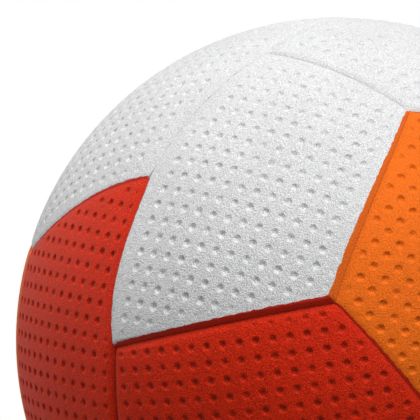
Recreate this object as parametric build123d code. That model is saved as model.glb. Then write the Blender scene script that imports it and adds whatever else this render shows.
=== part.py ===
from build123d import *
import os
from math import cos, radians, sin

# A size 1 handball, 510 mm round: twelve foam panels cemented edge to edge over a rubber carcass, a
# thread winding and a butyl bladder, with a rubber valve whose plug pulls out. The origin is its centre.
# The valve is on the -X pole, +Z is up, and the long seam lies round the ball near the plane X = 0.

# Driving dimensions, in millimetres
ball_diameter = 162.3
cover_thickness = 4.0
carcass_thickness = 1.2
winding_thickness = 0.8
bladder_thickness = 1.0

# Glue lines: between two layers, and between the walls of two neighbouring panels
cement_gap = 0.1
seam_gap = 0.1

# The seam groove: from the middle of the seam to one rim, and from the rims down to the butted walls
groove_half_width = 1.3
groove_depth = 1.0

# The valve housing: a flange bonded inside the bladder, and a neck that passes out through the layers
flange_radius = 13.0
flange_thickness = 1.5
neck_radius = 6.0
neck_inner_length = 9.0
valve_recess = 0.5
patch_radius = 20.0

# The valve plug: a head that sits in a counterbore of the housing, a shank and a blind needle channel
plug_head_radius = 4.0
plug_head_thickness = 1.4
plug_shank_radius = 2.6
plug_shank_length = 16.0
plug_tip_chamfer = 0.6
plug_clearance = 0.05
needle_radius = 1.0
needle_channel_depth = 12.0

# Cutting tools run past what they cut by this much, and a groove's arc turns this far, in degrees, to
# each side of its seam's middle, which is more than half of the longest seam
overrun = 5.0
groove_half_turn = 60

# Corners of the seam pattern as (longitude, latitude) about the X axis, in degrees. Longitude starts at
# the top and turns towards the front, -Y. Latitude is positive on the right half, +X. Joints are the
# places where a short seam of one half meets the long seam.
right_cap_angles = [(23.7, 34.6), (73.2, 39.5), (130, 61), (235, 62), (335, 50)]
right_joint_angles = [(24, 4), (86.3, 0), (160, 0), (235, 0), (310, 2)]
left_joint_angles = [(56.5, -0.7), (129, -0.3), (201, 0), (273, 0), (345, 1)]
left_cap_angles = [(68.7, -37.4), (134, -30), (212, -52), (284, -55), (25, -62)]

# Radii of the layers, from the outside in
ball_radius = ball_diameter / 2
cover_inner_radius = ball_radius - cover_thickness
carcass_radius = cover_inner_radius - cement_gap
winding_radius = carcass_radius - carcass_thickness - cement_gap
bladder_radius = winding_radius - winding_thickness - cement_gap
flange_seat_radius = bladder_radius - bladder_thickness - cement_gap

# Holes and places along the valve axis, measured from the ball's centre
neck_hole_radius = neck_radius + cement_gap
housing_start = flange_seat_radius - neck_inner_length
housing_end = ball_radius - valve_recess
head_start = housing_end - plug_head_thickness
valve_plane = Plane(origin=(0, 0, 0), z_dir=(-1, 0, 0))


def corner_direction(longitude, latitude):
    """The unit vector of a seam corner."""
    turn = radians(longitude)
    rise = radians(latitude)
    return Vector(sin(rise), -cos(rise) * sin(turn), cos(rise) * cos(turn))


def shell(radius, thickness):
    """A hollow sphere, from radius inwards."""
    return Sphere(radius) - Sphere(radius - thickness)


def seam_groove(middle, inward):
    """One side of the groove along a seam, as an arc that cuts the rim of the panel on that side."""
    floor = seam_gap / 2
    foot = ball_radius - groove_depth
    reach = ball_radius + overrun
    slope = groove_half_width / groove_depth
    outline = Polyline(
        (foot, floor),
        (reach, floor + slope * (reach - foot)),
        (reach, -overrun),
        (foot, -overrun),
        close=True,
    )
    arc = revolve(Plane.XZ * make_face(outline), Axis.Z, 2 * groove_half_turn)
    start = middle.rotate(Axis((0, 0, 0), inward), -groove_half_turn)
    return Plane(origin=(0, 0, 0), x_dir=start, z_dir=inward) * arc


def cover_panel(corners):
    """One panel of the cover, cut from its shell by a wall and a groove along each of its edges."""
    directions = [corner_direction(*corner) for corner in corners]
    middle = sum(directions, Vector(0, 0, 0)).normalized()
    sideways = middle.cross(directions[0]).normalized()
    panel = Plane(origin=(0, 0, 0), x_dir=-middle, z_dir=sideways) * shell(ball_radius, cover_thickness)
    grooves = []
    for start, end in zip(directions, directions[1:] + directions[:1]):
        inward = start.cross(end).normalized()
        if inward.dot(middle) < 0:
            inward = -inward
        wall = Plane(origin=inward * (seam_gap / 2), z_dir=inward)
        panel = split(panel, bisect_by=wall, keep=Keep.TOP)
        grooves.append(seam_groove((start + end).normalized(), inward))
    for groove in grooves:
        panel = panel - groove
    return panel


def cover_panels():
    """The twelve panels by name: a cap on each pole and five side panels on each half."""
    panels = {
        "right_cap_panel": cover_panel(right_cap_angles),
        "left_cap_panel": cover_panel(left_cap_angles) - valve_hole(neck_hole_radius),
    }
    count = len(right_joint_angles)
    for index in range(count):
        after = (index + 1) % count
        right_corners = [
            right_cap_angles[index],
            right_joint_angles[index],
            left_joint_angles[index],
            right_joint_angles[after],
            right_cap_angles[after],
        ]
        left_corners = [
            left_cap_angles[index],
            left_joint_angles[index],
            right_joint_angles[after],
            left_joint_angles[after],
            left_cap_angles[after],
        ]
        panels[f"right_side_panel_{index + 1}"] = cover_panel(right_corners)
        panels[f"left_side_panel_{index + 1}"] = cover_panel(left_corners)
    return panels


def valve_cylinder(radius, start, end):
    """A cylinder on the valve axis between two distances from the ball's centre."""
    cylinder = Cylinder(radius, end - start, align=(Align.CENTER, Align.CENTER, Align.MIN))
    return valve_plane * Pos(0, 0, start) * cylinder


def valve_hole(radius):
    """A cutter for a hole on the valve axis through every layer."""
    return valve_cylinder(radius, housing_start, ball_radius + overrun)


def carcass():
    """The vulcanised rubber shell under the cover."""
    return shell(carcass_radius, carcass_thickness) - valve_hole(neck_hole_radius)


def winding():
    """The layer of wound thread, left open round the valve for its patch."""
    return shell(winding_radius, winding_thickness) - valve_hole(patch_radius)


def valve_patch():
    """The rubberised cloth ring that fills the winding's opening round the valve."""
    disc = shell(winding_radius, winding_thickness) & valve_hole(patch_radius - cement_gap)
    return disc - valve_hole(neck_hole_radius)


def bladder():
    """The butyl air bladder."""
    return shell(bladder_radius, bladder_thickness) - valve_hole(neck_hole_radius)


def valve_housing():
    """A flange bonded inside the bladder, with a neck that ends just under the cover's surface."""
    flange = shell(flange_seat_radius, flange_thickness) & valve_hole(flange_radius)
    neck = valve_cylinder(neck_radius, housing_start, housing_end)
    shank_bore = valve_cylinder(plug_shank_radius + plug_clearance, housing_start - overrun, ball_radius)
    head_seat = valve_cylinder(plug_head_radius + plug_clearance, head_start - plug_clearance, ball_radius)
    return flange + neck - shank_bore - head_seat


def valve_plug():
    """The removable plug, its head flush with the housing and a needle channel down its middle."""
    shank = valve_cylinder(plug_shank_radius, head_start - plug_shank_length, head_start)
    shank = chamfer(shank.edges().sort_by(Axis.X)[-1], plug_tip_chamfer)
    head = valve_cylinder(plug_head_radius, head_start, housing_end)
    channel = valve_cylinder(needle_radius, housing_end - needle_channel_depth, ball_radius)
    return shank + head - channel


def main():
    os.makedirs("parts", exist_ok=True)
    pieces = cover_panels()
    pieces["carcass"] = carcass()
    pieces["winding"] = winding()
    pieces["valve_patch"] = valve_patch()
    pieces["bladder"] = bladder()
    pieces["valve_housing"] = valve_housing()
    pieces["valve_plug"] = valve_plug()
    for name, piece in pieces.items():
        export_step(piece, f"parts/{name}.step")


main()
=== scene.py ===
from functools import partial
from math import asin, ceil, cos, floor, log2, pi, radians, sin, sqrt

import bpy
import numpy as np
from mathutils import Matrix, Vector


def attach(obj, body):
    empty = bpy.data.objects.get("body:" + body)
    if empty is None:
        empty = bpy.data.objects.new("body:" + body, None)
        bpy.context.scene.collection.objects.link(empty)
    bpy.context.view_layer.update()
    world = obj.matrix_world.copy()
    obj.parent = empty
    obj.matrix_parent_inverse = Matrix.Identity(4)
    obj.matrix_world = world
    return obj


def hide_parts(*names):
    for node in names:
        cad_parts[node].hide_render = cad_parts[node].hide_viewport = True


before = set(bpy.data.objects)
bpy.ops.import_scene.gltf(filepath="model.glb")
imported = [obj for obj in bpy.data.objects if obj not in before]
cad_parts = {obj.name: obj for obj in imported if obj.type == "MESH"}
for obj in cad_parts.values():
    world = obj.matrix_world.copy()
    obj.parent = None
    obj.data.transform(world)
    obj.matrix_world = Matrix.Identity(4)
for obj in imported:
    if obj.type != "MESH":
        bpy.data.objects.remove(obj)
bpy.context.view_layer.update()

# A soft foam handball: twelve dimpled panels with rolled rims, a needle valve on the -X pole, and the
# layers under the cover. Lengths are in metres, and the ball's centre is the origin.

# The cover: its size, the gap between two rims, the groove's depth, and how faces sink softly towards it
ball_radius = 0.08115
cover_thickness = 0.004
seam_gap = 0.00002
groove_depth = 0.001
pillow_width = 0.007
pillow_depth = 0.00025
pillow_power = 2.0

# How wide a rim of each colour rolls down into the groove, and the power of its curve
rim_shapes = {"white": (0.0014, 1.3), "orange": (0.0022, 2.0), "red": (0.0022, 2.0)}

# Where two seams meet, distances and depths run into each other over about this length
corner_softness = 0.00025

# Dimples stand in a square lattice. They fade out towards the seams: none is left at the first margin, and
# all are whole at the second. Each takes a share of the full depth, by chance, within a range. In the
# material, a crisp edge adds to their depth.
dimple_pitch = 0.0041
dimple_radius = 0.00102
dimple_depth = 0.0004
dimple_depth_shares = (0.8, 1.15)
dimple_crisp_depths = {"white": 0.00013, "orange": 0.00023, "red": 0.00032}
dimple_margins = {"white": (0.0013, 0.0055), "orange": (0.0009, 0.003), "red": (0.0009, 0.003)}
dimple_seed = 7

# Keeps the wrapping of the lattice from dividing by zero at its own place
smallest_sine = 1e-9

# Mesh steps: along a panel's rim, close to its rim, how wide that close band is, and the steps over the
# face from a panel's middle to that band
rim_step = 0.0003
close_step = 0.0002
close_band = 0.002
face_steps = 120

# Rings on a panel's face thin out towards the middle by halving, up to this many points into one, while
# their points stay within so many face steps of each other. The rings under the face thin out at once:
# their shares of the way to the rim, and the points that become one
most_thinning = 128
widest_spacing_steps = 1.2
under_rings = [(1, 1), (0.99, 2), (0.97, 4), (0.93, 8), (0.86, 16)]
under_rings += [(share / 100, 16) for share in range(78, 0, -8)]

# Sizes of the valve: its housing, the bead on it, the plug and the needle's channel
neck_radius = 0.006
neck_hole_radius = 0.0061
valve_recess = 0.0005
flange_radius = 0.013
flange_seat_radius = 0.07385
flange_thickness = 0.0015
neck_inner_length = 0.009
neck_edge = 0.0004
bead_radius = 0.0051
bead_half_width = 0.0004
bead_height = 0.00015
plug_head_radius = 0.004
plug_head_thickness = 0.0014
plug_head_edge = 0.0003
plug_shank_radius = 0.0026
plug_shank_length = 0.016
plug_tip_chamfer = 0.0006
plug_clearance = 0.00005
needle_radius = 0.001
needle_channel_depth = 0.012
needle_mouth_radius = 0.0019
needle_mouth_depth = 0.0008

# Steps of the valve's turned shapes: places across the bead, from -1 to 1, and steps over the flange, round
# an edge and round the axis
bead_places = (-1, -0.6, -0.3, 0, 0.3, 0.6, 1)
flange_steps = 6
edge_steps = 5
valve_turn_steps = 96

# Corners of the seam pattern as (longitude, latitude) about the X axis, in degrees. Longitude starts at
# the top and turns towards the front, -Y. Latitude is positive on the right half, +X.
right_cap_angles = [(23.7, 34.6), (73.2, 39.5), (130, 61), (235, 62), (335, 50)]
right_joint_angles = [(24, 4), (86.3, 0), (160, 0), (235, 0), (310, 2)]
left_joint_angles = [(56.5, -0.7), (129, -0.3), (201, 0), (273, 0), (345, 1)]
left_cap_angles = [(68.7, -37.4), (134, -30), (212, -52), (284, -55), (25, -62)]

# A bow is a cubic curve. This factor makes its peak as high as the bow that is given.
bow_peak_factor = 27 / 4

# A plain seam, and the seams that differ from it, from one corner to another: a bow that peaks at one third
# of the way and one that peaks at two thirds, to the left seen from outside, how wide the covering paint or
# the seam line's painted shade runs up from the groove at the two corners, and the share of the groove's
# depth
plain_seam = (0, 0, 0.0009, 0.0009, 0.8)
special_seams = {
    (left_joint_angles[0], right_joint_angles[1]): (0.00035, -0.0017, 0.0006, 0.0001, 0.2),
    (right_joint_angles[1], right_cap_angles[1]): (-0.0002, -0.0001, 0.0011, 0.0020, 1.0),
    (right_cap_angles[1], right_cap_angles[0]): (0.0004, -0.0003, 0.0020, 0.0009, 0.4),
    (left_joint_angles[0], left_cap_angles[0]): (-0.0008, 0.0013, 0.0008, 0.0003, 0.3),
    (right_cap_angles[1], right_cap_angles[2]): (0.0006, 0.0004, 0.0005, 0.0015, 0.4),
    (right_joint_angles[1], left_joint_angles[1]): (0, 0, 0.0009, 0.0009, 1.0),
    (right_joint_angles[0], left_joint_angles[0]): (0, 0, 0.0001, 0.00001, 0.15),
    (right_joint_angles[0], right_cap_angles[0]): (0, 0, 0.0009, 0.0009, 0.5),
    (right_cap_angles[0], right_cap_angles[4]): (-0.0009, -0.0008, 0.0001, 0.0003, 0.6),
    (left_cap_angles[0], left_cap_angles[4]): (0.0025, 0.0006, 0.0005, 0.0009, 0.6),
    (left_cap_angles[0], left_cap_angles[1]): (-0.0007, 0.0003, 0.0009, 0.0009, 0.5),
}

# The seam between two panels of one colour with a broken line of painted shade in its gap, and its brightness
painted_shade_seam = frozenset((right_joint_angles[0], left_joint_angles[0]))
seam_shade_brightness = 0.45

# Each panel's colour, the place of one dimple, as (longitude, latitude), and the turn of its dimple
# lattice, all in degrees
panel_looks = {
    "right_cap_panel": ("orange", (62.5, 54.6), -31),
    "left_cap_panel": ("orange", (40, -78), 12),
    "right_side_panel_1": ("white", (52.6, 18.3), 0),
    "right_side_panel_2": ("red", (96.2, 26.3), 6),
    "right_side_panel_3": ("white", (172, 28), -9),
    "right_side_panel_4": ("red", (254, 28), 14),
    "right_side_panel_5": ("white", (10, 22), 5),
    "left_side_panel_1": ("red", (78.1, -18.3), -5),
    "left_side_panel_2": ("white", (150, -18), 10),
    "left_side_panel_3": ("red", (222, -22), -12),
    "left_side_panel_4": ("white", (294, -24), 4),
    "left_side_panel_5": ("white", (35.8, -13.2), 7),
}

# Foam colours. Each one covers those before it where paint runs into a shared groove.
foam_colours = {
    "white": (0.57, 0.57, 0.575, 1),
    "orange": (0.71, 0.122, 0.002, 1),
    "red": (0.55, 0.0165, 0.0008, 1),
}

# Foam skin: the scale and strength of its fine grain and its cloudy shades, its roughness, and the height
# of its grain
foam_skin = {
    "Grain Scale": 2900,
    "Cloud Scale": 60,
    "Cloud Shade": 0.15,
    "Roughness": 0.65,
    "Roughness Spread": 0.3,
}
foam_grain_shades = {"white": 1.5, "orange": 1.2, "red": 2.4}
foam_grain_height = 0.0003

# Foam shine: how much it mirrors, and its soft sheen
foam_speculars = {"white": 0.12, "orange": 0.14, "red": 0.1}
foam_sheen = 0.1
foam_sheen_roughness = 0.5
foam_sheen_tints = {"white": (1, 1, 1, 1), "orange": (1, 0.6, 0.3, 1), "red": (1, 0.45, 0.25, 1)}

# Painted shade: how much darker each colour is at the bottom of its dimples, and on its rims deep in the
# groove
pit_painted_shades = {"white": 0.0, "orange": 0.08, "red": 0.45}
groove_painted_shades = {"white": 0.15, "orange": 0.35, "red": 0.45}

# Paint in a groove: the share of its brightness that a colour keeps where it covers another, a painted shade,
# and how far, how finely and how softly the paint's edge wanders
cover_shade_brightness = {"orange": 0.8, "red": 0.78}
paint_ragged = 0.0007
paint_ragged_scale = 600
paint_edge = 0.00008

# Noise: its middle, and its detail in the grain, the cloudy shades and the paint's edge
noise_middle = 0.5
grain_detail = 3.0
cloud_detail = 4.0
ragged_detail = 2.0

# Rubber: its skin, the strength and height of its grain, and each one's colour and roughness
rubber_skin = {
    "Grain Scale": 2600,
    "Cloud Scale": 120,
    "Grain Shade": 0.3,
    "Cloud Shade": 0.5,
    "Roughness Spread": 0.3,
}
rubber_grain_strength = 0.3
rubber_grain_height = 0.00005
rubber_looks = {
    "valve_rubber": ((0.022, 0.022, 0.022), 0.45),
    "plug_rubber": ((0.035, 0.035, 0.036), 0.5),
    "carcass_rubber": ((0.05, 0.045, 0.04), 0.7),
    "bladder_butyl": ((0.02, 0.02, 0.02), 0.4),
}

# Thread: its skin, the turns of the threads that cross, how much and how finely they waver, the shade
# between them, the strength and height of their relief, and each one's colour and thread spacing
thread_skin = {
    "Grain Scale": 3000,
    "Cloud Scale": 90,
    "Grain Shade": 0.3,
    "Cloud Shade": 0.3,
    "Roughness": 0.75,
    "Roughness Spread": 0.2,
}
thread_turns = (radians(35), radians(-40))
thread_waver = 1.0
thread_waver_detail = 1.0
thread_gap_shade = 0.45
thread_relief_strength = 0.8
thread_height = 0.0002
thread_looks = {
    "winding_thread": ((0.58, 0.55, 0.46), 0.0006),
    "patch_cloth": ((0.28, 0.25, 0.19), 0.0008),
}

# The camera: the ball's middle and radius in the picture, in pixels, how many ball radii away it stands,
# where it stands, and how far it sees
picture_size = 420
ball_middle_pixel = (337.9, 339.3)
ball_radius_pixels = 322.35
camera_distance_share = 12
camera_azimuth = radians(43.14)
camera_elevation = radians(4.95)
sensor_width = 36
camera_reach = 100

# Lamps: how far each is turned to the right of the camera and raised, in degrees, and its power
lamps = {"key": (25, 67, 31), "front": (0, 33, 3.8), "rim": (-115, 20, 8)}
lamp_distance = 1.5
lamp_size = 1.0
world_strength = 0.13

# The floor: its colour for bounced light and as it is seen, and where it runs out to white
floor_half_size = 15
floor_roughness = 0.9
floor_bounce = (0.23, 0.23, 0.23, 1)
floor_colour = (0.85, 0.85, 0.85, 1)
floor_fade_start = 0.15
floor_fade_end = 0.4


# Nodes and meshes

def add_node(tree, kind, inputs=None, **settings):
    """A new node with its settings, and a value or a link on each of the inputs that are named."""
    made = tree.nodes.new(kind)
    for name, value in settings.items():
        setattr(made, name, value)
    for name, value in (inputs or {}).items():
        if isinstance(value, bpy.types.NodeSocket):
            tree.links.new(value, made.inputs[name])
        else:
            made.inputs[name].default_value = value
    return made


def maths_node(tree, operation, *values):
    """The result of a maths node on values or links."""
    return add_node(tree, "ShaderNodeMath", dict(enumerate(values)), operation=operation).outputs[0]


def add_sockets(tree, direction, sockets):
    """Named sockets of a node group, given as {name: kind}, such as Float, Vector or Color."""
    for name, kind in sockets.items():
        tree.interface.new_socket(name, in_out=direction, socket_type="NodeSocket" + kind)


def new_piece(name, mesh):
    """A smooth shaded object at the origin with that mesh."""
    mesh.polygons.foreach_set("use_smooth", [True] * len(mesh.polygons))
    piece = bpy.data.objects.new(name, mesh)
    bpy.context.scene.collection.objects.link(piece)
    return piece


def bridge(first, second):
    """Faces between two rings of vertex numbers, of equal counts, or one double the other, or one a point."""
    if len(first) == 1:
        return [(first[0], second[j - 1], second[j]) for j in range(len(second))]
    if len(second) == 1:
        return [(first[j - 1], second[0], first[j]) for j in range(len(first))]
    faces = []
    few = min(len(first), len(second))
    for j in range(few):
        after = (j + 1) % few
        if len(first) == len(second):
            faces.append((first[j], second[j], second[after], first[after]))
        elif len(second) > len(first):
            start, middle, end = second[2 * j], second[2 * j + 1], second[2 * after]
            faces.append((first[j], start, middle))
            faces.append((first[j], middle, first[after]))
            faces.append((first[after], middle, end))
        else:
            start, middle, end = first[2 * j], first[2 * j + 1], first[2 * after]
            faces.append((start, second[j], middle))
            faces.append((middle, second[j], second[after]))
            faces.append((middle, second[after], end))
    return faces


def ring_mesh(name, rings, closed):
    """A mesh through rings of points, each bridged to the next, and the last to the first if closed."""
    numbers = []
    start = 0
    for ring in rings:
        numbers.append(range(start, start + len(ring)))
        start += len(ring)
    pairs = list(zip(numbers, numbers[1:]))
    if closed:
        pairs.append((numbers[-1], numbers[0]))
    faces = [face for first, second in pairs for face in bridge(first, second)]
    mesh = bpy.data.meshes.new(name)
    mesh.from_pydata(np.concatenate(rings).tolist(), [], faces)
    return mesh


def set_attribute(mesh, name, kind, field, values):
    """An attribute with a value for each point of the mesh."""
    values = np.asarray(values, dtype=np.float32).ravel()
    mesh.attributes.new(name, kind, "POINT").data.foreach_set(field, values)


# Shape of the cover

def place_direction(longitude, latitude):
    """The unit vector of a place on the ball."""
    turn = radians(longitude)
    rise = radians(latitude)
    return np.array([sin(rise), -cos(rise) * sin(turn), cos(rise) * cos(turn)])


def unit(vectors):
    """The vectors at length 1."""
    return vectors / np.linalg.norm(vectors, axis=-1, keepdims=True)


def along_ball(start, end, share):
    """Directions a share of the way along the great circles from start to end."""
    angle = np.arccos(np.clip((start * end).sum(-1, keepdims=True), -1, 1))
    return (np.sin((1 - share) * angle) * start + np.sin(share * angle) * end) / np.sin(angle)


def anticlockwise(places):
    """A panel's corners in anticlockwise order, seen from outside."""
    first, second, third = [place_direction(*place) for place in places[:3]]
    return places if np.cross(first, second) @ third > 0 else places[::-1]


def panel_corners():
    """The corners of each panel by name: a cap on each pole and five side panels on each half."""
    corners = {
        "right_cap_panel": anticlockwise(right_cap_angles),
        "left_cap_panel": anticlockwise(left_cap_angles),
    }
    count = len(right_joint_angles)
    for index in range(count):
        after = (index + 1) % count
        right_places = [
            right_cap_angles[index],
            right_joint_angles[index],
            left_joint_angles[index],
            right_joint_angles[after],
            right_cap_angles[after],
        ]
        left_places = [
            left_cap_angles[index],
            left_joint_angles[index],
            right_joint_angles[after],
            left_joint_angles[after],
            left_cap_angles[after],
        ]
        corners[f"right_side_panel_{index + 1}"] = anticlockwise(right_places)
        corners[f"left_side_panel_{index + 1}"] = anticlockwise(left_places)
    return corners


def seams_of(places):
    """The seams round a panel, each as the set of its two corners."""
    return [frozenset(seam) for seam in zip(places, places[1:] + places[:1])]


def seam_neighbours(corners):
    """For each panel, the names of the panels on the other side of its seams."""
    owners = {}
    for name, places in corners.items():
        for seam in seams_of(places):
            owners.setdefault(seam, []).append(name)
    return {
        name: [next(owner for owner in owners[seam] if owner != name) for seam in seams_of(places)]
        for name, places in corners.items()
    }


def seam_style(start, end):
    """The bows, paint widths and groove share of a seam, seen on the way from start to end."""
    if (end, start) in special_seams:
        early_bow, late_bow, early_paint, late_paint, share = special_seams[end, start]
        return -late_bow, -early_bow, late_paint, early_paint, share
    return special_seams.get((start, end), plain_seam)


def seam_bow(share, early_bow, late_bow):
    """How far a seam bows at a share of its way, from its early and its late bow."""
    mixed_bow = early_bow * (1 - share) + late_bow * share
    return bow_peak_factor * share * (1 - share) * mixed_bow


def rim_points(corners, inward, styles):
    """Directions spread evenly round a panel's rim, a hair inside its seams, with each corner among them."""
    before = np.roll(inward, 1, 0)
    shift = (inward + before) / (1 + (inward * before).sum(1, keepdims=True))
    corners = unit(corners + shift * (seam_gap / 2 / ball_radius))
    after = np.roll(corners, -1, 0)
    lengths = np.arccos((corners * after).sum(1))
    count = most_thinning * ceil(lengths.sum() * ball_radius / rim_step / most_thinning)
    ends = np.round(np.cumsum(lengths) / lengths.sum() * count).astype(int)
    runs = []
    for k, steps in enumerate(np.diff(ends, prepend=0)):
        share = np.arange(steps)[:, None] / steps
        straight = along_ball(corners[k][None], after[k][None], share)
        bow = seam_bow(share, *styles[k][:2]) / ball_radius
        runs.append(unit(straight + inward[k] * bow))
    return np.concatenate(runs)


def seam_places(directions, corners, inward, styles):
    """How far points lie from each of a panel's seams, and at which share of that seam's way."""
    distances = []
    shares = []
    for start, end, normal, style in zip(corners, np.roll(corners, -1, 0), inward, styles):
        ahead = np.cross(normal, start)
        angle = np.arctan2(directions @ ahead, directions @ start)
        share = np.clip(angle / np.arccos(start @ end), 0, 1)
        straight = np.arcsin(np.clip(directions @ normal, -1, 1)) * ball_radius
        distances.append(straight - seam_bow(share, *style[:2]))
        shares.append(share)
    return np.stack(distances, 1), np.stack(shares, 1)


def face_shares(reach):
    """Shares of the way from a panel's middle to its rim, in steps that are closer near the rim."""
    band = close_band / reach
    face = np.linspace(0, 1 - band, face_steps, endpoint=False)
    close = np.linspace(1 - band, 1, ceil(close_band / close_step) + 1)
    return np.concatenate([face[1:], close])


def panel_rings(rim, middle, hole_radius):
    """Rings of points on a panel's face, from its middle or from its hole out to the rim, and under it."""
    sideways = unit(rim - middle * (rim @ middle)[:, None])
    inner_radius = ball_radius - cover_thickness

    def ring(share, radius, thinning):
        opening = asin(hole_radius / radius)
        start = middle * cos(opening) + sideways * sin(opening)
        return along_ball(start, rim, share)[::thinning] * radius

    reach = (np.arccos(rim @ middle).mean() - asin(hole_radius / ball_radius)) * ball_radius
    widest_spacing = widest_spacing_steps * (reach - close_band) / face_steps

    def face_ring(share):
        points = ring(share, ball_radius, 1)
        spacing = np.linalg.norm(points - np.roll(points, 1, 0), axis=1).mean()
        thinning = 2 ** floor(log2(max(1, widest_spacing / spacing)))
        return points[::min(thinning, most_thinning)]

    face = [face_ring(share) for share in face_shares(reach)]
    under = [ring(share, inner_radius, thinning) for share, thinning in under_rings]
    if hole_radius:
        return [face_ring(0)] + face, under + [ring(0, inner_radius, under_rings[-1][1])]
    return [middle[None] * ball_radius] + face, under + [middle[None] * inner_radius]


def lattice_places(directions, place, turn):
    """Where points lie, along the lattice's axes, on a flat sheet wrapped on the ball round one dimple."""
    longitude = radians(place[0])
    middle = place_direction(*place)
    east = np.array([0, -cos(longitude), -sin(longitude)])
    north = np.cross(middle, east)
    north = north if north[0] > 0 else -north
    angle = np.arccos(np.clip(directions @ middle, -1, 1))
    spread = ball_radius * angle / np.maximum(np.sin(angle), smallest_sine)
    along = spread * (directions @ east)
    up = spread * (directions @ north)
    slant = radians(turn)
    first = along * cos(slant) + up * sin(slant)
    second = up * cos(slant) - along * sin(slant)
    return np.stack([first, second, np.zeros_like(first)], 1)


def groove_paints(name, seams, neighbours):
    """The paint in the groove at each of a panel's seams, with its painted shade, and 1 where it covers the
    panel's own colour.
    """
    order = list(foam_colours)
    own = panel_looks[name][0]
    paints = []
    covered = []
    for seam, neighbour in zip(seams, neighbours):
        other = panel_looks[neighbour][0]
        # A seam line of the panel's own colour darkened as painted shade, or covering paint dimmed as painted
        # shade
        if seam == painted_shade_seam:
            paint, brightness = own, seam_shade_brightness
        elif order.index(other) > order.index(own):
            paint, brightness = other, cover_shade_brightness[other]
        else:
            paint, brightness = own, 1
        paints.append(np.array(foam_colours[paint]) * brightness)
        covered.append(brightness < 1)
    return np.array(paints), np.array(covered, dtype=float)


def panel_base(name, places, neighbours):
    """A panel's closed mesh with smooth faces, and what its dimples, rims and paint follow as attributes."""
    corners = np.array([place_direction(*place) for place in places])
    inward = unit(np.cross(corners, np.roll(corners, -1, 0)))
    styles = np.array([seam_style(*seam) for seam in zip(places, places[1:] + places[:1])])
    hole_radius = neck_hole_radius if name == "left_cap_panel" else 0
    middle = np.array([-1.0, 0, 0]) if hole_radius else unit(corners.sum(0))
    face, under = panel_rings(rim_points(corners, inward, styles), middle, hole_radius)
    mesh = ring_mesh(name, face + under, closed=bool(hole_radius))
    directions = unit(np.concatenate(face + under))
    distances, shares = seam_places(directions, corners, inward, styles)
    nearest = distances.min(1)
    nearness = np.exp((nearest[:, None] - distances) / corner_softness)
    seam_distance = np.maximum(nearest - corner_softness * np.log(nearness.sum(1)), 0)
    weights = nearness / nearness.sum(1, keepdims=True)
    paints, covered = groove_paints(name, seams_of(places), neighbours)
    widths = covered * (styles[:, 2] + (styles[:, 3] - styles[:, 2]) * shares)
    paint_width = (weights * widths).sum(1)
    if hole_radius:
        hole_distance = np.arccos(np.clip(directions @ middle, -1, 1)) * ball_radius - hole_radius
        seam_distance = np.minimum(seam_distance, hole_distance)
    skin = np.zeros(len(directions))
    skin[: sum(map(len, face))] = 1
    dimple_place, turn = panel_looks[name][1:]
    set_attribute(mesh, "seam_distance", "FLOAT", "value", seam_distance)
    set_attribute(mesh, "skin", "FLOAT", "value", skin)
    set_attribute(mesh, "lattice", "FLOAT_VECTOR", "vector", lattice_places(directions, dimple_place, turn))
    set_attribute(mesh, "groove_share", "FLOAT", "value", weights @ styles[:, 4])
    set_attribute(mesh, "paint_width", "FLOAT", "value", paint_width)
    set_attribute(mesh, "groove_paint", "FLOAT_COLOR", "color", paints[distances.argmin(1)])
    return mesh


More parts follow.
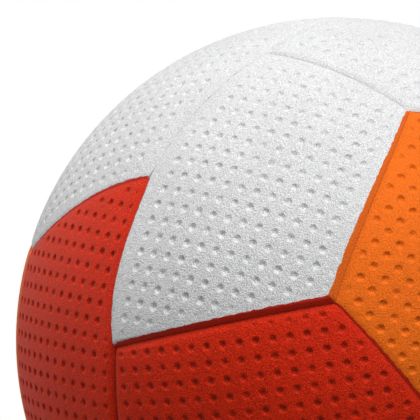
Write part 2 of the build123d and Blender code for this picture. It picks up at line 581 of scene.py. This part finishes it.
def foam_relief_tree():
    """Geometry nodes that press dimples into a panel's skin and roll its rims down into the grooves."""
    tree = bpy.data.node_groups.new("foam_relief", "GeometryNodeTree")
    sizes = [
        "Dimple Pitch", "Dimple Radius", "Dimple Depth", "Plain Margin", "Full Margin", "Seed",
        "Groove Depth", "Rim Width", "Rim Power", "Pillow Width", "Pillow Depth",
    ]
    add_sockets(tree, "INPUT", {"Geometry": "Geometry", **dict.fromkeys(sizes, "Float"), "Foam": "Material"})
    add_sockets(tree, "OUTPUT", {"Geometry": "Geometry"})
    given = add_node(tree, "NodeGroupInput").outputs
    maths = partial(maths_node, tree)

    def attribute(name, kind):
        return add_node(tree, "GeometryNodeInputNamedAttribute", {"Name": name}, data_type=kind).outputs[0]

    def ramp(value, low, high, start, end, kind="LINEAR"):
        inputs = {"Value": value, "From Min": low, "From Max": high, "To Min": start, "To Max": end}
        return add_node(tree, "ShaderNodeMapRange", inputs, interpolation_type=kind).outputs[0]

    def vectors(operation, inputs):
        return add_node(tree, "ShaderNodeVectorMath", inputs, operation=operation)

    distance = attribute("seam_distance", "FLOAT")
    lattice = attribute("lattice", "FLOAT_VECTOR")
    half = maths("MULTIPLY", given["Dimple Pitch"], 0.5)
    minus_half = maths("MULTIPLY", half, -1.0)
    offset = vectors("WRAP", {0: lattice, 1: half, 2: minus_half}).outputs[0]
    from_dimple = vectors("LENGTH", {0: offset}).outputs["Value"]
    dimple = vectors("SUBTRACT", {0: lattice, 1: offset}).outputs[0]
    cell = vectors("SCALE", {0: dimple, "Scale": maths("DIVIDE", 1.0, given["Dimple Pitch"])}).outputs[0]
    whole = vectors("FLOOR", {0: vectors("ADD", {0: cell, 1: (0.5, 0.5, 0.5)}).outputs[0]}).outputs[0]
    chance = add_node(
        tree, "ShaderNodeTexWhiteNoise", {"Vector": whole, "W": given["Seed"]}, noise_dimensions="4D"
    ).outputs["Value"]
    near_seam = ramp(distance, given["Plain Margin"], given["Full Margin"], 0.0, 1.0, "SMOOTHSTEP")
    slope = ramp(from_dimple, 0.0, given["Dimple Radius"], 1.0, 0.0)
    bowl = maths("MULTIPLY", slope, maths("SUBTRACT", 2.0, slope))
    dimple_share = maths("MULTIPLY", near_seam, ramp(chance, 0.0, 1.0, *dimple_depth_shares))
    press = maths("MULTIPLY", maths("MULTIPLY", given["Dimple Depth"], bowl), dimple_share)
    roll = maths("POWER", ramp(distance, 0.0, given["Rim Width"], 1.0, 0.0), given["Rim Power"])
    groove_share = attribute("groove_share", "FLOAT")
    groove = maths("MULTIPLY", maths("MULTIPLY", roll, groove_share), given["Groove Depth"])
    pillow_share = maths("POWER", ramp(distance, 0.0, given["Pillow Width"], 1.0, 0.0), pillow_power)
    pillow = maths("MULTIPLY", maths("MULTIPLY", pillow_share, groove_share), given["Pillow Depth"])
    sunk = maths("ADD", maths("ADD", press, groove), pillow)
    inwards = maths("MULTIPLY", maths("MULTIPLY", sunk, attribute("skin", "FLOAT")), -1.0)
    outwards = vectors("NORMALIZE", {0: add_node(tree, "GeometryNodeInputPosition").outputs[0]}).outputs[0]
    shift = vectors("SCALE", {0: outwards, "Scale": inwards}).outputs[0]
    marked = add_node(tree, "GeometryNodeSetPosition", {"Geometry": given["Geometry"], "Offset": shift})
    # The groove mark tells the material where to paint shade on the rims deep in the groove
    marks = {"dimple_share": dimple_share, "groove": maths("MULTIPLY", roll, groove_share)}
    for name, value in marks.items():
        marked = add_node(
            tree,
            "GeometryNodeStoreNamedAttribute",
            {"Geometry": marked.outputs[0], "Name": name, "Value": value},
            data_type="FLOAT",
            domain="POINT",
        )
    real = add_node(tree, "GeometryNodeRealizeInstances", {"Geometry": marked.outputs[0]})
    finished = add_node(
        tree, "GeometryNodeSetMaterial", {"Geometry": real.outputs[0], "Material": given["Foam"]}
    )
    add_node(tree, "NodeGroupOutput", {"Geometry": finished.outputs[0]})
    return tree


def apply_tree(piece, tree, values):
    """Runs a node tree on a piece and keeps the result as its plain mesh."""
    modifier = piece.modifiers.new(tree.name, "NODES")
    modifier.node_group = tree
    for socket in tree.interface.items_tree:
        if socket.in_out == "INPUT" and socket.name in values:
            modifier[socket.identifier] = values[socket.name]
    depsgraph = bpy.context.evaluated_depsgraph_get()
    mesh = bpy.data.meshes.new_from_object(
        piece.evaluated_get(depsgraph), preserve_all_data_layers=True, depsgraph=depsgraph
    )
    piece.modifiers.clear()
    piece.data = mesh


def make_cover(foams):
    """The twelve foam panels in place of the plain ones."""
    tree = foam_relief_tree()
    corners = panel_corners()
    neighbours = seam_neighbours(corners)
    for name, places in corners.items():
        colour = panel_looks[name][0]
        rim_width, rim_power = rim_shapes[colour]
        plain_margin, full_margin = dimple_margins[colour]
        piece = new_piece("foam_" + name, panel_base(name, places, neighbours[name]))
        apply_tree(piece, tree, {
            "Dimple Pitch": dimple_pitch,
            "Dimple Radius": dimple_radius,
            "Dimple Depth": dimple_depth,
            "Plain Margin": plain_margin,
            "Full Margin": full_margin,
            "Seed": float(dimple_seed),
            "Groove Depth": groove_depth,
            "Rim Width": rim_width,
            "Rim Power": rim_power,
            "Pillow Width": pillow_width,
            "Pillow Depth": pillow_depth,
            "Foam": foams[colour],
        })
        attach(piece, "ball")
        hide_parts(name)


# Shader groups and materials

def shader_group(name, inputs, outputs):
    """An empty shader node group with named sockets, and its input and output nodes."""
    tree = bpy.data.node_groups.new(name, "ShaderNodeTree")
    add_sockets(tree, "INPUT", inputs)
    add_sockets(tree, "OUTPUT", outputs)
    return tree, add_node(tree, "NodeGroupInput"), add_node(tree, "NodeGroupOutput")


def object_noise(tree, scale, detail):
    """Noise that is fixed to the object."""
    place = add_node(tree, "ShaderNodeTexCoord").outputs["Object"]
    inputs = {"Vector": place, "Scale": scale, "Detail": detail}
    return add_node(tree, "ShaderNodeTexNoise", inputs).outputs["Fac"]


def grain_group():
    """Fine grain and cloudy shades of a moulded surface: a shade factor, a height and a roughness."""
    tree, given, out = shader_group(
        "surface_grain",
        {
            "Grain Scale": "Float", "Cloud Scale": "Float", "Grain Shade": "Float", "Cloud Shade": "Float",
            "Roughness": "Float", "Roughness Spread": "Float",
        },
        {"Shade": "Float", "Height": "Float", "Roughness": "Float"},
    )
    grain = object_noise(tree, given.outputs["Grain Scale"], grain_detail)
    cloud = object_noise(tree, given.outputs["Cloud Scale"], cloud_detail)

    def spread(value, middle, width):
        centred = maths_node(tree, "SUBTRACT", value, noise_middle)
        return maths_node(tree, "MULTIPLY_ADD", centred, width, middle)

    shade = spread(cloud, spread(grain, 1.0, given.outputs["Grain Shade"]), given.outputs["Cloud Shade"])
    rough = spread(grain, given.outputs["Roughness"], given.outputs["Roughness Spread"])
    tree.links.new(shade, out.inputs["Shade"])
    tree.links.new(grain, out.inputs["Height"])
    tree.links.new(rough, out.inputs["Roughness"])
    return tree


def dimple_group():
    """How deep each place lies in its dimple, from 0 at the edge to 1 at the bottom."""
    tree, given, out = shader_group("dimple", {"Pitch": "Float", "Radius": "Float"}, {"Bowl": "Float"})
    maths = partial(maths_node, tree)
    lattice = add_node(tree, "ShaderNodeAttribute", attribute_name="lattice").outputs["Vector"]
    share = add_node(tree, "ShaderNodeAttribute", attribute_name="dimple_share").outputs["Fac"]
    half = maths("MULTIPLY", given.outputs["Pitch"], 0.5)
    wrapped = {0: lattice, 1: half, 2: maths("MULTIPLY", half, -1.0)}
    offset = add_node(tree, "ShaderNodeVectorMath", wrapped, operation="WRAP").outputs[0]
    away = add_node(tree, "ShaderNodeVectorMath", {0: offset}, operation="LENGTH").outputs["Value"]
    ends = {"Value": away, "From Max": given.outputs["Radius"], "To Min": 1.0, "To Max": 0.0}
    slope = add_node(tree, "ShaderNodeMapRange", ends).outputs[0]
    bowl = maths("MULTIPLY", slope, maths("SUBTRACT", 2.0, slope))
    tree.links.new(maths("MULTIPLY", bowl, share), out.inputs["Bowl"])
    return tree


def groove_mask_group():
    """A mask of the painted groove beside a seam, with a slightly ragged edge."""
    tree, given, out = shader_group(
        "groove_mask", {"Ragged": "Float", "Ragged Scale": "Float", "Edge": "Float"}, {"Mask": "Float"}
    )
    distance = add_node(tree, "ShaderNodeAttribute", attribute_name="seam_distance").outputs["Fac"]
    width = add_node(tree, "ShaderNodeAttribute", attribute_name="paint_width").outputs["Fac"]
    noise = object_noise(tree, given.outputs["Ragged Scale"], ragged_detail)
    centred = maths_node(tree, "SUBTRACT", noise, noise_middle)
    edge = maths_node(tree, "MULTIPLY_ADD", centred, given.outputs["Ragged"], width)
    past = maths_node(tree, "SUBTRACT", edge, distance)
    mask = add_node(
        tree, "ShaderNodeMapRange", {"Value": past, "From Min": 0.0, "From Max": given.outputs["Edge"]}
    ).outputs[0]
    tree.links.new(mask, out.inputs["Mask"])
    return tree


def new_material(name):
    """A material with a plain Principled shader, its tree and that shader."""
    material = bpy.data.materials.new(name)
    material.use_nodes = True
    return material, material.node_tree, material.node_tree.nodes["Principled BSDF"]


def shaded_colour(tree, colour, shade):
    """A colour times a shade that changes over the surface."""
    return add_node(
        tree, "ShaderNodeVectorMath", {0: colour[:3], "Scale": shade}, operation="SCALE"
    ).outputs[0]


def mixed_colour(tree, factor, first, second):
    """A colour between two others. Sockets go by number, since the node repeats their names."""
    inputs = {"Factor": factor, 6: first, 7: second}
    return add_node(tree, "ShaderNodeMix", inputs, data_type="RGBA").outputs[2]


def foam_material(colour_name, grain, dimple, groove_mask):
    """Soft foam skin: fine grain, cloudy shades, a painted groove, and painted shade deep in its dimples and
    groove.
    """
    material, tree, shader = new_material("foam_" + colour_name)
    skin_values = {**foam_skin, "Grain Shade": foam_grain_shades[colour_name]}
    skin = add_node(tree, "ShaderNodeGroup", skin_values, node_tree=grain).outputs
    edge_values = {"Ragged": paint_ragged, "Ragged Scale": paint_ragged_scale, "Edge": paint_edge}
    mask = add_node(tree, "ShaderNodeGroup", edge_values, node_tree=groove_mask).outputs["Mask"]
    lattice_values = {"Pitch": dimple_pitch, "Radius": dimple_radius}
    bowl = add_node(tree, "ShaderNodeGroup", lattice_values, node_tree=dimple).outputs["Bowl"]
    # The groove paint holds colours dimmed as painted shade
    paint = add_node(tree, "ShaderNodeAttribute", attribute_name="groove_paint").outputs["Color"]
    groove = add_node(tree, "ShaderNodeAttribute", attribute_name="groove").outputs["Fac"]
    shade = skin["Shade"]
    # Painted shade: darker colour at the bottom of the dimples and on the rims deep in the groove
    for depth, darkening in ((bowl, pit_painted_shades), (groove, groove_painted_shades)):
        ends = {"Value": depth, "To Min": 1.0, "To Max": 1.0 - darkening[colour_name]}
        darker = add_node(tree, "ShaderNodeMapRange", ends).outputs[0]
        shade = maths_node(tree, "MULTIPLY", shade, darker)
    own = shaded_colour(tree, foam_colours[colour_name], shade)
    tree.links.new(mixed_colour(tree, mask, own, paint), shader.inputs["Base Color"])
    tree.links.new(skin["Roughness"], shader.inputs["Roughness"])
    dents = {"Height": bowl, "Strength": 1.0, "Distance": dimple_crisp_depths[colour_name]}
    pressed = add_node(tree, "ShaderNodeBump", dents, invert=True).outputs[0]
    grains = {"Height": skin["Height"], "Strength": 1.0, "Distance": foam_grain_height, "Normal": pressed}
    tree.links.new(add_node(tree, "ShaderNodeBump", grains).outputs[0], shader.inputs["Normal"])
    shader.inputs["Specular IOR Level"].default_value = foam_speculars[colour_name]
    shader.inputs["Sheen Weight"].default_value = foam_sheen
    shader.inputs["Sheen Roughness"].default_value = foam_sheen_roughness
    shader.inputs["Sheen Tint"].default_value = foam_sheen_tints[colour_name]
    return material


def rubber_material(name, grain):
    """Moulded rubber with a fine matt grain."""
    colour, roughness = rubber_looks[name]
    material, tree, shader = new_material(name)
    skin_values = {**rubber_skin, "Roughness": roughness}
    skin = add_node(tree, "ShaderNodeGroup", skin_values, node_tree=grain).outputs
    tree.links.new(shaded_colour(tree, colour, skin["Shade"]), shader.inputs["Base Color"])
    tree.links.new(skin["Roughness"], shader.inputs["Roughness"])
    grains = {"Height": skin["Height"], "Strength": rubber_grain_strength, "Distance": rubber_grain_height}
    tree.links.new(add_node(tree, "ShaderNodeBump", grains).outputs[0], shader.inputs["Normal"])
    return material


def thread_material(name, grain):
    """Threads that cross each other, as in a winding or a woven cloth."""
    colour, spacing = thread_looks[name]
    material, tree, shader = new_material(name)
    place = add_node(tree, "ShaderNodeTexCoord").outputs["Object"]
    skin = add_node(tree, "ShaderNodeGroup", thread_skin, node_tree=grain).outputs
    threads = []
    for turn in thread_turns:
        turned = add_node(tree, "ShaderNodeMapping", {"Vector": place, "Rotation": (turn, turn, 0)})
        waves = {
            "Vector": turned.outputs[0],
            "Scale": 1 / spacing / pi,
            "Distortion": thread_waver,
            "Detail": thread_waver_detail,
        }
        threads.append(add_node(tree, "ShaderNodeTexWave", waves, bands_direction="Y").outputs["Fac"])
    weave = maths_node(tree, "MAXIMUM", *threads)
    ends = {"Value": weave, "To Min": thread_gap_shade, "To Max": 1.0}
    depth = add_node(tree, "ShaderNodeMapRange", ends).outputs[0]
    shade = maths_node(tree, "MULTIPLY", skin["Shade"], depth)
    tree.links.new(shaded_colour(tree, colour, shade), shader.inputs["Base Color"])
    tree.links.new(skin["Roughness"], shader.inputs["Roughness"])
    relief = {"Height": weave, "Strength": thread_relief_strength, "Distance": thread_height}
    tree.links.new(add_node(tree, "ShaderNodeBump", relief).outputs[0], shader.inputs["Normal"])
    return material


# The valve

def turned_piece(name, profile, material, body):
    """A piece turned about the valve axis from a profile of (distance from the ball's centre, radius)."""
    turns = np.linspace(0, 2 * pi, valve_turn_steps, endpoint=False)
    rings = []
    for reach, radius in profile:
        if radius == 0:
            rings.append(np.array([[-reach, 0, 0]]))
        else:
            around = [np.full_like(turns, -reach), radius * np.cos(turns), radius * np.sin(turns)]
            rings.append(np.stack(around, 1))
    mesh = ring_mesh(name, rings, closed=profile[0][1] > 0)
    piece = new_piece("turned_" + name, mesh)
    mesh.materials.append(material)
    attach(piece, body)
    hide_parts(name)
    return piece


def rounded(reach, radius, edge):
    """Points of a rounded outer corner, from its end face round to its side."""
    angles = [pi / 2 * step / edge_steps for step in range(edge_steps + 1)]
    return [(reach - edge + edge * cos(angle), radius - edge + edge * sin(angle)) for angle in angles]


def on_ball(layer_radius, radius):
    """A profile point on a layer of that radius, at a distance from the valve axis."""
    return (sqrt(layer_radius ** 2 - radius ** 2), radius)


def make_valve(material, plug_material):
    """The valve's housing and its plug, with rounded edges, a moulded bead and a mouth for the needle."""
    top = ball_radius - valve_recess
    seat_radius = plug_head_radius + plug_clearance
    seat_floor = top - plug_head_thickness - plug_clearance
    bore_radius = plug_shank_radius + plug_clearance
    bottom = flange_seat_radius - neck_inner_length
    flange_floor = flange_seat_radius - flange_thickness
    bead = [
        (top + bead_height * cos(pi / 2 * place), bead_radius + bead_half_width * place)
        for place in bead_places
    ]
    overhang = flange_radius - neck_radius
    steps = range(flange_steps + 1)
    flange = [on_ball(flange_seat_radius, neck_radius + overhang * step / flange_steps) for step in steps]
    flange_under = [on_ball(flange_floor, flange_radius - overhang * step / flange_steps) for step in steps]
    housing = [(bottom, bore_radius), (seat_floor, bore_radius)]
    housing += [(seat_floor, seat_radius), (top, seat_radius)] + bead
    housing += rounded(top, neck_radius, neck_edge) + flange + flange_under + [(bottom, neck_radius)]
    turned_piece("valve_housing", housing, material, "ball")
    head_floor = top - plug_head_thickness
    tip = head_floor - plug_shank_length
    plug = [(top - needle_channel_depth, 0), (top - needle_channel_depth, needle_radius)]
    plug += [(top - needle_mouth_depth, needle_radius), (top, needle_mouth_radius)]
    plug += rounded(top, plug_head_radius, plug_head_edge)
    plug += [(head_floor, plug_head_radius), (head_floor, plug_shank_radius)]
    plug += [(tip + plug_tip_chamfer, plug_shank_radius), (tip, plug_shank_radius - plug_tip_chamfer)]
    plug += [(tip, 0)]
    turned_piece("valve_plug", plug, plug_material, "plug")


def dress_layers(materials):
    """Materials of the layers under the cover."""
    for name, material in materials.items():
        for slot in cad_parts[name].material_slots:
            slot.material = material


# Camera, light and floor

def camera_axes():
    """The camera's right, down and forward directions."""
    forward = Vector((
        -sin(camera_azimuth) * cos(camera_elevation),
        cos(camera_azimuth) * cos(camera_elevation),
        -sin(camera_elevation),
    ))
    right = Vector((cos(camera_azimuth), sin(camera_azimuth), 0))
    return right, forward.cross(right), forward


def make_camera():
    """A camera that sees the ball at its place and size in the picture."""
    right, down, forward = camera_axes()
    focal_pixels = ball_radius_pixels * sqrt(camera_distance_share ** 2 - 1)
    across = (ball_middle_pixel[0] - picture_size / 2) / focal_pixels
    below = (ball_middle_pixel[1] - picture_size / 2) / focal_pixels
    sight = (right * across + down * below + forward).normalized()
    data = bpy.data.cameras.new("camera")
    data.sensor_width = sensor_width
    data.lens = sensor_width * focal_pixels / picture_size
    data.clip_end = camera_reach
    camera = bpy.data.objects.new("camera", data)
    turn = Matrix((right, -down, -forward)).transposed().to_4x4()
    camera.matrix_world = Matrix.Translation(-sight * camera_distance_share * ball_radius) @ turn
    bpy.context.scene.collection.objects.link(camera)
    bpy.context.scene.camera = camera


def make_lamp(name, turn, elevation, power):
    """A large soft lamp aimed at the ball, turned to the right of the camera and raised."""
    data = bpy.data.lights.new(name, "AREA")
    data.shape = "DISK"
    data.size = lamp_size
    data.energy = power
    azimuth = camera_azimuth + radians(turn)
    rise = radians(elevation)
    towards = Vector((sin(azimuth), -cos(azimuth), 0))
    from_ball = towards * cos(rise) + Vector((0, 0, sin(rise)))
    lamp = bpy.data.objects.new(name, data)
    lamp.location = from_ball * lamp_distance
    lamp.rotation_euler = (-from_ball).to_track_quat("-Z", "Y").to_euler()
    lamp.visible_camera = False
    bpy.context.scene.collection.objects.link(lamp)


def seen_directly(tree):
    """1 for rays from the camera, straight or by way of a mirror or glass, and 0 for light on surfaces."""
    path = add_node(tree, "ShaderNodeLightPath").outputs
    mirrored = maths_node(tree, "MAXIMUM", path["Is Glossy Ray"], path["Is Transmission Ray"])
    return maths_node(tree, "MAXIMUM", path["Is Camera Ray"], mirrored)


def make_light():
    """A key lamp above, weaker ones in front and behind the left rim, and a plain world."""
    for name, (turn, elevation, power) in lamps.items():
        make_lamp(name, turn, elevation, power)
    world = bpy.data.worlds.new("world")
    bpy.context.scene.world = world
    world.use_nodes = True
    tree = world.node_tree
    ends = {"Value": seen_directly(tree), "To Min": world_strength, "To Max": 1.0}
    strength = add_node(tree, "ShaderNodeMapRange", ends)
    background = tree.nodes["Background"]
    background.inputs["Color"].default_value = (1, 1, 1, 1)
    tree.links.new(strength.outputs[0], background.inputs["Strength"])


def make_floor():
    """A pale floor that keeps the ball's shadow and runs out to white."""
    signs = ((-1, -1), (1, -1), (1, 1), (-1, 1))
    corners = [(x * floor_half_size, y * floor_half_size, -ball_radius) for x, y in signs]
    mesh = bpy.data.meshes.new("floor")
    mesh.from_pydata(corners, [], [(0, 1, 2, 3)])
    ground = new_piece("floor", mesh)
    material, tree, shader = new_material("floor")
    shader.inputs["Roughness"].default_value = floor_roughness
    shader.inputs["Specular IOR Level"].default_value = 0.0
    seen = seen_directly(tree)
    tree.links.new(mixed_colour(tree, seen, floor_bounce, floor_colour), shader.inputs["Base Color"])
    place = add_node(tree, "ShaderNodeTexCoord").outputs["Object"]
    away = add_node(tree, "ShaderNodeVectorMath", {0: place}, operation="LENGTH").outputs["Value"]
    ends = {"Value": away, "From Min": floor_fade_start, "From Max": floor_fade_end}
    far = add_node(tree, "ShaderNodeMapRange", ends, interpolation_type="SMOOTHSTEP").outputs[0]
    factor = maths_node(tree, "MULTIPLY", far, seen)
    white = add_node(tree, "ShaderNodeEmission", {"Color": (1, 1, 1, 1), "Strength": 1.0})
    mix = add_node(tree, "ShaderNodeMixShader", {0: factor, 1: shader.outputs[0], 2: white.outputs[0]})
    tree.links.new(mix.outputs[0], tree.nodes["Material Output"].inputs["Surface"])
    mesh.materials.append(material)


def main():
    """Makes the materials, the pieces and the stage."""
    grain = grain_group()
    dimple = dimple_group()
    groove_mask = groove_mask_group()
    foams = {name: foam_material(name, grain, dimple, groove_mask) for name in foam_colours}
    make_cover(foams)
    make_valve(rubber_material("valve_rubber", grain), rubber_material("plug_rubber", grain))
    dress_layers({
        "carcass": rubber_material("carcass_rubber", grain),
        "winding": thread_material("winding_thread", grain),
        "valve_patch": thread_material("patch_cloth", grain),
        "bladder": rubber_material("bladder_butyl", grain),
    })
    make_camera()
    make_light()
    make_floor()
    bpy.context.scene.view_settings.view_transform = "Standard"


main()
